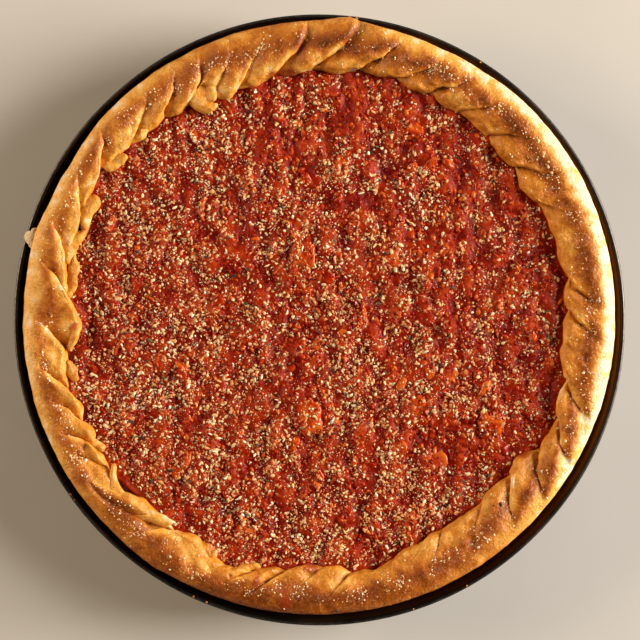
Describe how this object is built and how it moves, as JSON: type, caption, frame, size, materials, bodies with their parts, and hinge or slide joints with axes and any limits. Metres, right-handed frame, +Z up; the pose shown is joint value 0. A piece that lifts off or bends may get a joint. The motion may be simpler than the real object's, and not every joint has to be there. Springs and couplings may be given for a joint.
{
  "type": "deep dish pizza",
  "caption": "Whole deep dish pizza in its round tin: a folded, browned crust edge around crushed tomato, grated cheese and dried herbs.",
  "frame": {"origin": "centre of the bounding box on the underside of the tin, where it stands", "axes": "+Z up, out of the pizza's top; +X and +Y lie in the table plane, and the tin is round about Z"},
  "size_m": [0.3108, 0.3108, 0.0446],
  "materials": {
    "tin": "seasoned sheet steel, dark, satin, worn along the rolled rim",
    "crust": "baked bread dough, golden, browned on the folds",
    "tomato": "cooked crushed tomato, wet and lumpy",
    "tomato_pieces": "cooked tomato flesh, wet",
    "cheese": "hard cheese, finely grated, cream with toasted grains",
    "herbs": "dried crushed herb leaf, matt grey-green"
  },
  "bodies": {
    "root": {"pan": "tin", "crust": "crust", "tomato_topping": "tomato", "tomato_piece_1": "tomato_pieces", "tomato_piece_2": "tomato_pieces", "tomato_piece_3": "tomato_pieces", "tomato_piece_4": "tomato_pieces", "tomato_piece_5": "tomato_pieces", "tomato_piece_6": "tomato_pieces", "tomato_piece_7": "tomato_pieces", "tomato_piece_8": "tomato_pieces"}
  },
  "joints": []
}
